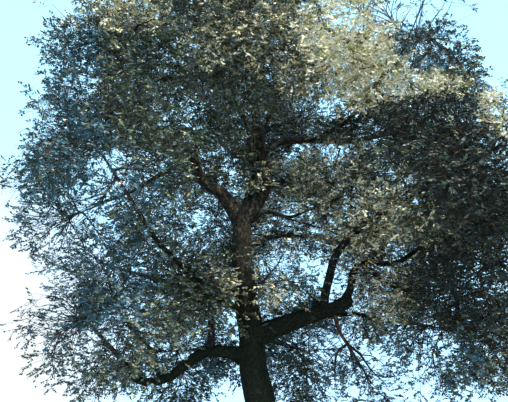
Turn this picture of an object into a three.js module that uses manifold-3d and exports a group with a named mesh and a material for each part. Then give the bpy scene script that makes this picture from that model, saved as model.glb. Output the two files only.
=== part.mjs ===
// A coast live oak, evergreen and broad-crowned, rooted in level ground.
// Millimetres, +Z up. The origin is the centre of the trunk's flat cut at ground level.
// -Y is the open side of the crown, where the trunk, the fork and the low boughs show.

import * as THREE from "three";
import { mergeVertices } from "three/addons/utils/BufferGeometryUtils.js";
import Module from "manifold-3d";

const wasm = await Module();
wasm.setup();

// Fit between pieces of wood: a stem starts just past the seat that is cut for its bough's tip
const seatGap = 0.3;
const tipGap = 0.35;

// Trunk: leans to -X as it rises, with a root flare of shallow lobes.
// It is shaped from a little below the ground and cut flat there.
const trunk = {
  path: [
    [0, 0, 0],
    [-120, 0, 1000],
    [-300, 0, 1980],
    [-465, 0, 2750],
    [-500, 0, 3400],
    [-650, 0, 4400],
    [-750, 0, 5500],
    [-765, 0, 6300],
    [-730, 0, 6800],
  ],
  footDepth: 120,
  footDiameter: 820,
  forkDiameter: 460,
  flareGrowth: 190,
  flareHeight: 430,
  lobes: 5,
  lobeDepth: 0.17,
  sides: 15,
  steps: 20,
};

// Boughs: each swells into a collar where it leaves its parent
const bough = {
  stoutGirth: 280,
  stoutSides: 9,
  slimGirth: 150,
  slimSides: 6,
  sides: 7,
  stepLength: 680,
  fewestSteps: 4,
  mostSteps: 11,
  collar: 0.3,
  collarReach: 1.3,
  taper: 0.85,
};

// Foliage: each mass is an oblate space round its heart, filled from one stem.
// Lengths of twigs and leaves are shares of the mass's spread.
const foliage = { flatness: 0.86, usualSpread: 1800, entry: 0.6, borderGap: 12, woodGap: 30 };
const stem = { reach: 0.3, bend: 0.45, thinning: 0.35, sides: 5, steps: 2 };
const twig = {
  perMass: 4.8,
  from: 0.4,
  to: 0.96,
  reach: 0.62,
  leastReach: 0.3,
  reachStep: 0.06,
  thickness: 0.5,
  thinnest: 20,
};
const leaf = {
  length: 0.52,
  width: 0.64,
  thickness: 0.03,
  waist: 0.46,
  endShare: 0.8,
  sideShares: [0.4, 0.66],
  sideLength: 0.9,
  sideways: 1.1,
  tilt: 1.7,
  lift: 0.25,
  triedSizes: [1, 0.85, 0.7, 0.55],
};

// Each mass has its own seed
const firstSeed = 13;
const seedStep = 977;

// A shoot of the trunk itself carries the one mass that no bough ends in
const trunkShoot = { at: 0.645, girth: [90, 40] };

// Masses of foliage: the heart of each, how far it spreads, and how full of leaf it is
const masses = {
  crown_top: { heart: [-450, 400, 12300], spread: 2250, fullness: 1 },
  high_left: { heart: [-2800, -1000, 11100], spread: 2100, fullness: 1 },
  high_right: { heart: [2150, -900, 11200], spread: 2100, fullness: 1 },
  high_back: { heart: [0, 3200, 10600], spread: 2300, fullness: 1 },
  upper_front: { heart: [-750, -3750, 9300], spread: 2000, fullness: 1 },
  upper_front_left: { heart: [-3500, -2900, 9200], spread: 2000, fullness: 1 },
  upper_left: { heart: [-4750, 700, 9200], spread: 2100, fullness: 1 },
  upper_back_left: { heart: [-3350, 3900, 8900], spread: 2200, fullness: 1 },
  upper_back_right: { heart: [1900, 3900, 9500], spread: 2200, fullness: 1 },
  upper_right: { heart: [4650, 900, 9600], spread: 2200, fullness: 1 },
  upper_front_right: { heart: [2900, -3000, 9400], spread: 2000, fullness: 1 },
  wing_front_left: { heart: [-3250, -4100, 6200], spread: 1950, fullness: 0.9 },
  wing_left: { heart: [-4600, -900, 6300], spread: 2000, fullness: 0.9 },
  wing_back_left: { heart: [-4800, 2800, 5900], spread: 2150, fullness: 0.9 },
  wing_back: { heart: [-650, 4600, 7200], spread: 2600, fullness: 0.9 },
  wing_back_right: { heart: [3850, 3700, 6100], spread: 2200, fullness: 0.9 },
  wing_right: { heart: [4800, -100, 6300], spread: 2100, fullness: 0.9 },
  wing_front_right: { heart: [3500, -4000, 6100], spread: 1950, fullness: 0.9 },
  skirt_front_left: { heart: [-3100, -2700, 3600], spread: 1750, fullness: 0.9 },
  skirt_left: { heart: [-4450, 300, 3750], spread: 1950, fullness: 0.9 },
  skirt_back_left: { heart: [-2850, 3600, 3500], spread: 2200, fullness: 0.9 },
  skirt_back_right: { heart: [1150, 4600, 3600], spread: 2200, fullness: 0.9 },
  skirt_right: { heart: [4450, 1300, 3850], spread: 2100, fullness: 0.9 },
  skirt_front_right: { heart: [3900, -2000, 3500], spread: 1800, fullness: 0.9 },
  heart_front: { heart: [100, -1350, 4900], spread: 1050, fullness: 0.8 },
  heart_low: { heart: [-2250, -900, 4800], spread: 1500, fullness: 0.9 },
  heart_left: { heart: [-2250, -1400, 8400], spread: 1450, fullness: 0.8 },
  heart_right: { heart: [1950, -200, 7000], spread: 1800, fullness: 0.9 },
  hanging: { heart: [2100, -300, 2600], spread: 1100, fullness: 0.6 },
};

// Boughs: what each grows from and how far along, its diameters at the base and the tip,
// places it passes, and the mass it ends in. The low right bough ends at a fork instead.
const boughs = [
  { name: "leader", from: "trunk", at: 0.93, girth: [410, 170], into: "crown_top",
    via: [[-400, 0, 6870], [-185, 20, 7250], [-180, 40, 7850], [-350, 70, 8700], [-420, 250, 10200]] },
  { name: "bough_high_left", from: "trunk", at: 0.965, girth: [225, 90], into: "high_left",
    via: [[-570, 60, 7150], [-505, 90, 7700], [-540, 60, 8600], [-720, -80, 9300]] },
  { name: "bough_upper_left", from: "trunk", at: 0.93, girth: [410, 120], into: "upper_left",
    via: [[-1280, -10, 7095], [-1735, 0, 7445], [-1975, 20, 7800], [-2165, 40, 8400]] },
  { name: "bough_heart_left", from: "bough_upper_left", at: 0.36, girth: [120, 70], into: "heart_left",
    via: [[-2050, -500, 8000]] },
  { name: "bough_upper_front_left", from: "bough_upper_left", at: 0.62, girth: [170, 80],
    into: "upper_front_left", via: [[-3100, -900, 8750]] },
  { name: "bough_wing_left", from: "bough_upper_left", at: 0.45, girth: [150, 70], into: "wing_left",
    via: [[-2550, -150, 7750], [-3450, -450, 7050]] },
  { name: "bough_wing_front_left", from: "trunk", at: 0.58, girth: [190, 80], into: "wing_front_left",
    via: [[-1350, -1200, 4300], [-2400, -2700, 5000]] },
  { name: "bough_upper_front", from: "leader", at: 0.36, girth: [210, 90], into: "upper_front",
    via: [[-300, -700, 8450], [-500, -1700, 8800]] },
  { name: "bough_upper_right", from: "leader", at: 0.38, girth: [240, 110], into: "upper_right",
    via: [[150, 0, 8560], [900, 10, 8660], [2100, 80, 8660], [2950, 350, 8950]] },
  { name: "bough_upper_front_right", from: "bough_upper_right", at: 0.42, girth: [160, 80],
    into: "upper_front_right", via: [[1950, -900, 8800]] },
  { name: "bough_high_right", from: "leader", at: 0.56, girth: [170, 80], into: "high_right",
    via: [[450, -250, 10100]] },
  { name: "bough_high_back", from: "leader", at: 0.52, girth: [190, 90], into: "high_back",
    via: [[-400, 1100, 9700]] },
  { name: "bough_upper_back_left", from: "bough_upper_left", at: 0.3, girth: [200, 90],
    into: "upper_back_left", via: [[-1950, 1300, 8000]] },
  { name: "bough_upper_back_right", from: "leader", at: 0.24, girth: [200, 90],
    into: "upper_back_right", via: [[550, 1500, 8100]] },
  { name: "bough_heart_right", from: "trunk", at: 0.9, girth: [130, 70], into: "heart_right",
    via: [[-150, 120, 6650], [474, 160, 6530]] },
  { name: "bough_wing_back_left", from: "trunk", at: 0.67, girth: [210, 90], into: "wing_back_left",
    via: [[-1750, 700, 4900], [-2950, 1500, 5150]] },
  { name: "bough_wing_back", from: "trunk", at: 0.76, girth: [200, 90], into: "wing_back",
    via: [[-770, 1300, 5650]] },
  { name: "bough_wing_back_right", from: "trunk", at: 0.83, girth: [200, 90], into: "wing_back_right",
    via: [[150, 900, 6250], [1650, 2000, 6480]] },
  { name: "bough_heart_low", from: "trunk", at: 0.63, girth: [140, 70], into: "heart_low",
    via: [[-1150, -420, 4520]] },
  { name: "bough_right_low", from: "trunk", at: 0.511, girth: [500, 325], into: null,
    via: [[-114, -20, 3590], [322, -40, 3750], [1153, -80, 4030], [1496, -100, 4110], [1790, -100, 4290]] },
  { name: "bough_wing_right", from: "bough_right_low", at: 0.96, girth: [210, 90], into: "wing_right",
    via: [[1905, -110, 4620], [1980, -120, 4980], [2240, -110, 5235], [3050, -100, 5245]] },
  { name: "bough_rising", from: "bough_right_low", at: 0.74, girth: [240, 90], into: "wing_front_right",
    via: [[1275, -170, 4450], [1395, -230, 4880], [1515, -330, 5290], [2000, -1500, 5750]] },
  { name: "bough_hanging", from: "bough_right_low", at: 0.86, girth: [110, 70], into: "hanging",
    via: [[1520, -150, 3790], [1590, -170, 3545]] },
  { name: "bough_skirt_front_right", from: "bough_wing_right", at: 0.4, girth: [130, 80],
    into: "skirt_front_right", via: [[2650, -700, 4650]] },
  { name: "bough_skirt_right", from: "bough_right_low", at: 0.5, girth: [170, 80], into: "skirt_right",
    via: [[1850, 550, 4100]] },
  { name: "bough_left_low", from: "trunk", at: 0.454, girth: [330, 130], into: "skirt_left",
    via: [[-1210, -30, 3110], [-1540, -50, 3110], [-2050, -80, 2810], [-2440, -80, 2520],
      [-3100, 0, 2450]] },
  { name: "bough_left_fork", from: "bough_left_low", at: 0.66, girth: [130, 70],
    into: "skirt_front_left", via: [[-2730, -480, 2950]] },
  { name: "bough_skirt_back_left", from: "trunk", at: 0.42, girth: [230, 90], into: "skirt_back_left",
    via: [[-1500, 1200, 3300]] },
  { name: "bough_skirt_back_right", from: "trunk", at: 0.47, girth: [230, 90], into: "skirt_back_right",
    via: [[-100, 1400, 3550]] },
];

// A dead stub stands on the low left bough, snapped off square
const stub = { from: "bough_left_low", at: 0.28, height: 750, girth: [200, 165], sides: 7, steps: 2 };

const bark = new THREE.MeshStandardMaterial({ color: 0x4a453f, roughness: 0.95, metalness: 0 });
const deadWood = new THREE.MeshStandardMaterial({ color: 0x5b4a41, roughness: 0.95, metalness: 0 });
const leafGreen = new THREE.MeshStandardMaterial({ color: 0x37492f, roughness: 0.6, metalness: 0 });

const up = new THREE.Vector3(0, 0, 1);
const point = (place) => new THREE.Vector3(...place);
const mix = (a, b, share) => a + (b - a) * share;

// Numbers from 0 to 1 that the same seed repeats, so that the tree grows the same each time
const seedStride = 0x6d2b79f5;
function seeded(seed) {
  let state = seed;
  return () => {
    state = (state + seedStride) | 0;
    let word = Math.imul(state ^ (state >>> 15), 1 | state);
    word = (word + Math.imul(word ^ (word >>> 7), 61 | word)) ^ word;
    return ((word ^ (word >>> 14)) >>> 0) / 2 ** 32;
  };
}

// Corners nearer to each other than this are one corner
const cornerReach = 1e-3;
function solidFrom(geometry) {
  const bare = geometry.clone();
  bare.deleteAttribute("normal");
  bare.deleteAttribute("uv");
  const merged = mergeVertices(bare, cornerReach);
  return new wasm.Manifold(
    new wasm.Mesh({
      numProp: 3,
      vertProperties: new Float32Array(merged.attributes.position.array),
      triVerts: new Uint32Array(merged.index.array),
    }),
  );
}

function geometryFrom(solid) {
  const mesh = solid.getMesh();
  const geometry = new THREE.BufferGeometry();
  geometry.setAttribute("position", new THREE.BufferAttribute(mesh.vertProperties, 3));
  geometry.setIndex(new THREE.BufferAttribute(mesh.triVerts, 1));
  const flat = geometry.toNonIndexed();
  flat.computeVertexNormals();
  return flat;
}

// The main body of a solid, without scraps and with sealed hollows filled
function mainBody(solid) {
  return solid.decompose().reduce((best, piece) => (piece.volume() > best.volume() ? piece : best));
}

// A cylinder laid along a path, its radius given by share of the length and angle.
// swell widens it and lengthens both ends, to cut a clear seat for what grows from it.
function taperedSolid(path, radiusAt, sides, steps, swell = 0) {
  const geometry = new THREE.CylinderGeometry(1, 1, 1, sides, steps);
  const frames = path.computeFrenetFrames(steps, false);
  const rim = swell / Math.cos(Math.PI / sides);
  const place = geometry.attributes.position;
  for (let i = 0; i < place.count; i++) {
    const ring = Math.round((place.getY(i) + 0.5) * steps);
    const across = new THREE.Vector2(place.getX(i), place.getZ(i));
    const radius = radiusAt(ring / steps, across.angle()) + rim;
    const end = ring === 0 ? -swell : ring === steps ? swell : 0;
    const at = path.getPointAt(ring / steps);
    at.addScaledVector(frames.tangents[ring], end);
    at.addScaledVector(frames.normals[ring], across.x * radius);
    at.addScaledVector(frames.binormals[ring], -across.y * radius);
    place.setXYZ(i, at.x, at.y, at.z);
  }
  return solidFrom(geometry);
}

// All wood made so far, by name, each with its path and its radius along it
const wood = new Map();

function trunkRadius(length) {
  return (share, angle) => {
    const fade = Math.exp(-Math.max(0, share * length - trunk.footDepth) / trunk.flareHeight);
    const shaft = mix(trunk.footDiameter, trunk.forkDiameter, share) / 2;
    const lobing = 1 + trunk.lobeDepth * fade * Math.cos(trunk.lobes * angle);
    return (shaft + trunk.flareGrowth * fade) * lobing;
  };
}

function boughRadius(girth, length) {
  const [base, tip] = girth.map((diameter) => diameter / 2);
  return (share) => {
    const collar = bough.collar * Math.exp((-share * length) / (base * bough.collarReach));
    return mix(tip, base, (1 - share) ** bough.taper) * (1 + collar);
  };
}

// Adds a limb: cut clear of every limb that is there already, and kept as its main body
function addLimb(name, path, radiusAt, sides, steps) {
  let solid = taperedSolid(path, radiusAt, sides, steps);
  for (const other of wood.values()) solid = solid.subtract(other.seat);
  wood.set(name, {
    path,
    radiusAt,
    solid: mainBody(solid),
    seat: taperedSolid(path, radiusAt, sides, steps, seatGap),
    surround: taperedSolid(path, radiusAt, sides, steps, foliage.woodGap),
  });
}

function growTrunk() {
  const [foot] = trunk.path.map(point);
  foot.addScaledVector(up, -trunk.footDepth);
  const path = new THREE.CatmullRomCurve3([foot, ...trunk.path.map(point)], false, "centripetal");
  addLimb("trunk", path, trunkRadius(path.getLength()), trunk.sides, trunk.steps);
  const { solid } = wood.get("trunk");
  wood.get("trunk").solid = mainBody(solid.trimByPlane([0, 0, 1], 0));
}

// Stout boughs are rounder than slim ones
function boughSides([base]) {
  if (base > bough.stoutGirth) return bough.stoutSides;
  return base < bough.slimGirth ? bough.slimSides : bough.sides;
}

// The place on a mass's near side where the bough that carries it ends
function entryInto(mass, last) {
  const heart = point(mass.heart);
  return heart.lerp(last, (foliage.entry * mass.spread) / heart.distanceTo(last));
}

function growBough(spec) {
  const places = [wood.get(spec.from).path.getPointAt(spec.at), ...spec.via.map(point)];
  if (spec.into) places.push(entryInto(masses[spec.into], places.at(-1)));
  const path = new THREE.CatmullRomCurve3(places, false, "centripetal");
  const length = path.getLength();
  const wantedSteps = Math.round(length / bough.stepLength);
  const steps = THREE.MathUtils.clamp(wantedSteps, bough.fewestSteps, bough.mostSteps);
  addLimb(spec.name, path, boughRadius(spec.girth, length), boughSides(spec.girth), steps);
}

function growStub() {
  const foot = wood.get(stub.from).path.getPointAt(stub.at);
  const top = foot.clone().addScaledVector(up, stub.height);
  const path = new THREE.LineCurve3(foot, top);
  addLimb("dead_stub", path, boughRadius(stub.girth, stub.height), stub.sides, stub.steps);
}

// In this measure every mass is a ball, so the borders between masses are flat
const squash = new THREE.Vector3(1, 1, 1 / foliage.flatness);
const inMeasure = (place) => place.clone().multiply(squash);
const inMeasureHeart = (mass) => inMeasure(point(mass.heart));
const powerOf = (mass, place) =>
  inMeasure(place).distanceToSquared(inMeasureHeart(mass)) - mass.spread ** 2;

function keepsToSpace(mass, place) {
  const own = powerOf(mass, place);
  if (own > 0) return false;
  return Object.values(masses).every((other) => {
    if (other === mass) return true;
    const apart = inMeasureHeart(other).distanceTo(inMeasureHeart(mass));
    return own + 2 * foliage.borderGap * apart < powerOf(other, place);
  });
}

// Directions spread evenly over a ball, turned by a seeded angle
function evenDirections(count, turn) {
  const golden = Math.PI * (3 - Math.sqrt(5));
  return Array.from({ length: count }, (_, i) => {
    const height = 1 - (2 * (i + 0.5)) / count;
    const around = Math.sqrt(1 - height * height);
    const angle = turn + golden * i;
    return new THREE.Vector3(around * Math.cos(angle), around * Math.sin(angle), height);
  });
}

// The stem starts square on the bough's tip and runs past the heart of its mass
function growStem(mass, parent) {
  const start = parent.path.getPointAt(1);
  const heading = parent.path.getTangentAt(1);
  start.addScaledVector(heading, tipGap);
  const end = point(mass.heart).addScaledVector(heading, stem.reach * mass.spread);
  const bend = start.clone().addScaledVector(heading, start.distanceTo(end) * stem.bend);
  const path = new THREE.QuadraticBezierCurve3(start, bend, end);
  const base = parent.radiusAt(1, 0);
  return { path, radiusAt: (share) => base * mix(1, stem.thinning, share) };
}

function growTrunkShoot(mass) {
  const start = wood.get("trunk").path.getPointAt(trunkShoot.at);
  const path = new THREE.LineCurve3(start, point(mass.heart));
  const [base, tip] = trunkShoot.girth;
  return { path, radiusAt: (share) => mix(base, tip, share) / 2 };
}

// A three-sided twig that tapers to a point inside its last leaf
function twigSolid(start, end, radius) {
  const length = start.distanceTo(end);
  const heading = end.clone().sub(start).normalize();
  const coneAxis = new THREE.Vector3(0, 1, 0);
  const geometry = new THREE.ConeGeometry(radius, length, 3);
  geometry.translate(0, length / 2, 0);
  geometry.applyQuaternion(new THREE.Quaternion().setFromUnitVectors(coneAxis, heading));
  geometry.translate(...start);
  return solidFrom(geometry);
}

// A leaf of eight faces: root, tip, two edges at its waist, and a top and an underside
function leafSolid({ root, along, side, length }) {
  const geometry = new THREE.OctahedronGeometry(1);
  const face = new THREE.Vector3().crossVectors(side, along);
  const place = geometry.attributes.position;
  for (let i = 0; i < place.count; i++) {
    const reach = place.getY(i) > 0.5 ? 1 : place.getY(i) < -0.5 ? 0 : leaf.waist;
    const at = root.clone();
    at.addScaledVector(along, reach * length);
    at.addScaledVector(side, (place.getX(i) * length * leaf.width) / 2);
    at.addScaledVector(face, (place.getZ(i) * length * leaf.thickness) / 2);
    place.setXYZ(i, at.x, at.y, at.z);
  }
  return solidFrom(geometry);
}

// Places on a leaf that have to lie in its mass's space
function leafOutline({ root, along, side, length }) {
  const half = (length * leaf.width) / 2;
  const waist = root.clone().addScaledVector(along, length * leaf.waist);
  const tip = root.clone().addScaledVector(along, length);
  return [tip, waist.clone().addScaledVector(side, half), waist.clone().addScaledVector(side, -half)];
}

// The leaf takes the largest size that fits, or is left off
function leafThatFits(mass, shape, surround) {
  for (const size of leaf.triedSizes) {
    const tried = { ...shape, length: shape.length * size };
    if (!leafOutline(tried).every((place) => keepsToSpace(mass, place))) continue;
    const solid = leafSolid(tried);
    if (solid.intersect(surround).isEmpty()) return [solid];
  }
  return [];
}

// The furthest place towards a direction that a twig from the start can reach
function twigThatFits(mass, start, direction, radius, surround) {
  for (let reach = twig.reach; reach > twig.leastReach; reach -= twig.reachStep) {
    const end = direction.clone().divide(squash).multiplyScalar(mass.spread * reach).add(point(mass.heart));
    if (!keepsToSpace(mass, end)) continue;
    const solid = twigSolid(start, end, radius);
    if (solid.intersect(surround).isEmpty()) return { end, solid };
  }
  return null;
}

// Twigs leave the stem towards points spread evenly over the space, with a leaf at the end
// of each and one on either hand
function growFoliage(mass, parentStem, seed, surround) {
  const random = seeded(seed);
  const pieces = [taperedSolid(parentStem.path, parentStem.radiusAt, stem.sides, stem.steps)];
  const stemHeading = parentStem.path.getTangentAt(0.5);
  const radius = Math.max(twig.thinnest, parentStem.radiusAt(0.5) * twig.thickness);
  const count = Math.round((twig.perMass * mass.fullness * mass.spread) / foliage.usualSpread);
  for (const direction of evenDirections(count, random() * Math.PI * 2)) {
    const forward = 0.5 + 0.5 * direction.dot(stemHeading);
    const start = parentStem.path.getPointAt(mix(twig.from, twig.to, forward));
    const firstHand = random() < 0.5 ? -1 : 1;
    const tilt = new THREE.Vector3(random() - 0.5, random() - 0.5, random() - 0.5);
    const fitted = twigThatFits(mass, start, direction, radius, surround);
    if (!fitted) continue;
    const { end, solid } = fitted;
    pieces.push(solid);
    const heading = end.clone().sub(start).normalize();
    const level = new THREE.Vector3().crossVectors(heading, up).normalize();
    const normal = up.clone().addScaledVector(tilt, leaf.tilt).addScaledVector(heading, leaf.lift);
    const length = leaf.length * mass.spread;
    const shapes = [{ root: start.clone().lerp(end, leaf.endShare), along: heading, length }];
    leaf.sideShares.forEach((share, i) => {
      const hand = i % 2 ? -firstHand : firstHand;
      const along = heading.clone().addScaledVector(level, hand * leaf.sideways).normalize();
      shapes.push({ root: start.clone().lerp(end, share), along, length: length * leaf.sideLength });
    });
    for (const shape of shapes) {
      shape.side = new THREE.Vector3().crossVectors(shape.along, normal).normalize();
      pieces.push(...leafThatFits(mass, shape, surround));
    }
  }
  return mainBody(wasm.Manifold.union(pieces));
}

function named(name, solid, material) {
  const mesh = new THREE.Mesh(geometryFrom(solid), material);
  mesh.name = name;
  return mesh;
}

const oak = new THREE.Group();
growTrunk();
boughs.forEach(growBough);
growStub();
for (const [name, limb] of wood) oak.add(named(name, limb.solid, name === "dead_stub" ? deadWood : bark));

const seats = wasm.Manifold.union([...wood.values()].map((limb) => limb.seat));
const surround = wasm.Manifold.union([...wood.values()].map((limb) => limb.surround));
Object.entries(masses).forEach(([name, mass], i) => {
  const spec = boughs.find(({ into }) => into === name);
  const parentStem = spec ? growStem(mass, wood.get(spec.name)) : growTrunkShoot(mass);
  const solid = growFoliage(mass, parentStem, firstSeed + i * seedStep, surround);
  oak.add(named(`foliage_${name}`, mainBody(solid.subtract(seats)), leafGreen));
});

export default oak;
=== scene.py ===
# A coast live oak: trunk and boughs with the relief of their bark, twigs, and leaves in sprays.
# Metres, +Z up. The crown's open side, where the trunk and its fork show, faces -Y.
import math

import bmesh
import bpy
import numpy as np
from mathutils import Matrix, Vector, noise


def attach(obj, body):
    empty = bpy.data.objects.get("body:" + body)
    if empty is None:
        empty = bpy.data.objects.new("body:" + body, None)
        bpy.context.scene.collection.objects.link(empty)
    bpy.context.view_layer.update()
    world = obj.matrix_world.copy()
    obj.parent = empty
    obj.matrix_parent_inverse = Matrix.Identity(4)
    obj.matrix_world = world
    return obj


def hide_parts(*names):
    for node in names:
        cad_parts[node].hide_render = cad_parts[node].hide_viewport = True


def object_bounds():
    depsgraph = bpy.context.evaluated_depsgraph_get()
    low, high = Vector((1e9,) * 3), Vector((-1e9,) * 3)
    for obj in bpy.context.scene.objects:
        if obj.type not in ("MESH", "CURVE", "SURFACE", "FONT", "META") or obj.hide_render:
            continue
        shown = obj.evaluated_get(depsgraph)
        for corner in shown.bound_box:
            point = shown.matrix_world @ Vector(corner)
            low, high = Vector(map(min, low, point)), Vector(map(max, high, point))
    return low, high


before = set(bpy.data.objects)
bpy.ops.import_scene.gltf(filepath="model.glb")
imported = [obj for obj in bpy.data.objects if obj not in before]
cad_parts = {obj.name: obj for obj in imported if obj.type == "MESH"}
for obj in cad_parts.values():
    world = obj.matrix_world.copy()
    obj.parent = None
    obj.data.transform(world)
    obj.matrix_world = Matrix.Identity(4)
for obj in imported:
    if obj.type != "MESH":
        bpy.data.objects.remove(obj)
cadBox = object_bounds()
print("frame loaded")

up = np.array([0.0, 0.0, 1.0])


def mix(a, b, share):
    return a + (b - a) * share


def unit(vectors):
    return vectors / np.maximum(np.linalg.norm(vectors, axis=-1, keepdims=True), 1e-9)


def smoothstep(low, high, value):
    share = np.clip((value - low) / (high - low), 0, 1)
    return share * share * (3 - 2 * share)


def linear(hexColour):  # sRGB hex to linear red, green, blue, alpha
    parts = [int(hexColour[i:i + 2], 16) / 255 for i in (1, 3, 5)]
    return (*[c / 12.92 if c <= 0.04045 else ((c + 0.055) / 1.055) ** 2.4 for c in parts], 1.0)


def addNode(tree, kind, inputs=None, **settings):  # a node with its settings, values and links
    made = tree.nodes.new(kind)
    for key, value in settings.items():
        setattr(made, key, value)
    for socket, value in (inputs or {}).items():
        if isinstance(value, bpy.types.NodeSocket):
            tree.links.new(value, made.inputs[socket])
        else:
            made.inputs[socket].default_value = value
    return made


def setRamp(ramp, stops):  # stops are (place, colour), the colour in hex or in linear light
    elements = ramp.color_ramp.elements
    while len(elements) < len(stops):
        elements.new(0.5)
    for element, (place, colour) in zip(elements, stops):
        element.position = place
        element.color = linear(colour) if isinstance(colour, str) else (*colour, 1.0)


def newMaterial(name):
    material = bpy.data.materials.new(name)
    material.use_nodes = True
    return material, material.node_tree, material.node_tree.nodes["Principled BSDF"]


def plainMaterial(name, colour, roughness, specular=0.5):
    material, _, surface = newMaterial(name)
    surface.inputs["Base Color"].default_value = linear(colour)
    surface.inputs["Roughness"].default_value = roughness
    surface.inputs["Specular IOR Level"].default_value = specular
    return material


def meshOf(name, bm):
    mesh = bpy.data.meshes.new(name)
    bm.to_mesh(mesh)
    bm.free()
    return mesh


def inScene(name, data):
    made = bpy.data.objects.new(name, data)
    bpy.context.scene.collection.objects.link(made)
    return made


def showPiece(name, mesh, materials, slotName, *nodes):
    for material in materials:
        mesh.materials.append(material)
    piece = inScene(name, mesh)
    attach(piece, "root")
    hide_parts(*nodes)


viewPlan = {
    "eye": (-0.45, -14.6, 1.6),  # a standing person's eye, looking up into the crown
    "pitch": 20.0,
    "focalPixels": 600.0,
    "widthPixels": 508.0,
    "sensor": 36.0,
    "furthest": 500.0,
}
lightPlan = {
    "sunFrom": (0.34, -0.48, 0.81),
    "sunStrength": 8.0,
    "sunSpread": 5.0,  # degrees: a soft edge to the shadows
    "sunColour": "#fff1d6",
    "sky": [(0.05, (0.82, 1.4, 1.9)), (0.6, (0.66, 1.28, 1.75))],  # how high up, and the light there
    "glow": (1.05, 1.12, 1.15),  # haze that whitens the low sky on the left
    "glowTowards": (-0.46, 0.88, 0.09),
    "glowEdges": (0.95, 0.99),  # as cosines: none outside the first, all of it inside the second
}
floorPlan = {"width": 320.0, "colour": "#99938a", "roughness": 0.9}


def makeView():
    camera = bpy.data.cameras.new("camera")
    camera.sensor_width = viewPlan["sensor"]
    camera.lens = viewPlan["focalPixels"] / viewPlan["widthPixels"] * viewPlan["sensor"]
    camera.clip_end = viewPlan["furthest"]
    holder = inScene("camera", camera)
    holder.location = viewPlan["eye"]
    holder.rotation_euler = (math.radians(90 + viewPlan["pitch"]), 0, 0)
    bpy.context.scene.camera = holder


def makeLight():
    lamp = bpy.data.lights.new("sun", "SUN")
    lamp.energy = lightPlan["sunStrength"]
    lamp.angle = math.radians(lightPlan["sunSpread"])
    lamp.color = linear(lightPlan["sunColour"])[:3]
    holder = inScene("sun", lamp)
    holder.rotation_euler = Vector(lightPlan["sunFrom"]).to_track_quat("Z", "Y").to_euler()
    world = bpy.data.worlds.new("sky")
    world.use_nodes = True
    tree = world.node_tree
    tree.nodes.clear()
    direction = addNode(tree, "ShaderNodeTexCoord").outputs["Generated"]
    height = addNode(tree, "ShaderNodeSeparateXYZ", {0: direction}).outputs["Z"]
    ramp = addNode(tree, "ShaderNodeValToRGB", {0: height})
    setRamp(ramp, lightPlan["sky"])
    facing = addNode(tree, "ShaderNodeVectorMath", {0: direction, 1: lightPlan["glowTowards"]},
                     operation="DOT_PRODUCT").outputs["Value"]
    none, full = lightPlan["glowEdges"]
    share = addNode(tree, "ShaderNodeMapRange", {"Value": facing, "From Min": none, "From Max": full})
    glow = (*lightPlan["glow"], 1.0)
    hazy = addNode(tree, "ShaderNodeMix", {0: share.outputs[0], 6: ramp.outputs[0], 7: glow},
                   data_type="RGBA")
    sky = addNode(tree, "ShaderNodeBackground", {0: hazy.outputs[2]})
    addNode(tree, "ShaderNodeOutputWorld", {0: sky.outputs[0]})
    bpy.context.scene.world = world
    bpy.context.scene.view_settings.view_transform = "Standard"


def makeFloor():
    bm = bmesh.new()
    bmesh.ops.create_grid(bm, x_segments=1, y_segments=1, size=floorPlan["width"] / 2)
    mesh = meshOf("floor", bm)
    mesh.materials.append(plainMaterial("paintedFloor", floorPlan["colour"], floorPlan["roughness"]))
    floor = inScene("floor", mesh)


makeView()
makeLight()
makeFloor()
print("camera, light and floor made")


# Limbs, by the same plan as the frame
trunkPlan = {
    "path": [(0, 0, 0), (-0.12, 0, 1), (-0.3, 0, 1.98), (-0.465, 0, 2.75), (-0.5, 0, 3.4),
             (-0.65, 0, 4.4), (-0.75, 0, 5.5), (-0.765, 0, 6.3), (-0.73, 0, 6.8)],
    "footDepth": 0.12,
    "footDiameter": 0.82,
    "forkDiameter": 0.46,
    "flareGrowth": 0.19,
    "flareHeight": 0.43,
    "lobes": 5,
    "lobeDepth": 0.17,
}
boughPlan = {"collar": 0.3, "collarReach": 1.3, "taper": 0.85, "entry": 0.6}
stubPlan = {"from": "bough_left_low", "at": 0.28, "height": 0.75, "girth": (0.2, 0.165), "splinter": 0.03}
trunkShootPlan = {"at": 0.645, "girth": (0.09, 0.04)}

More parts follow.
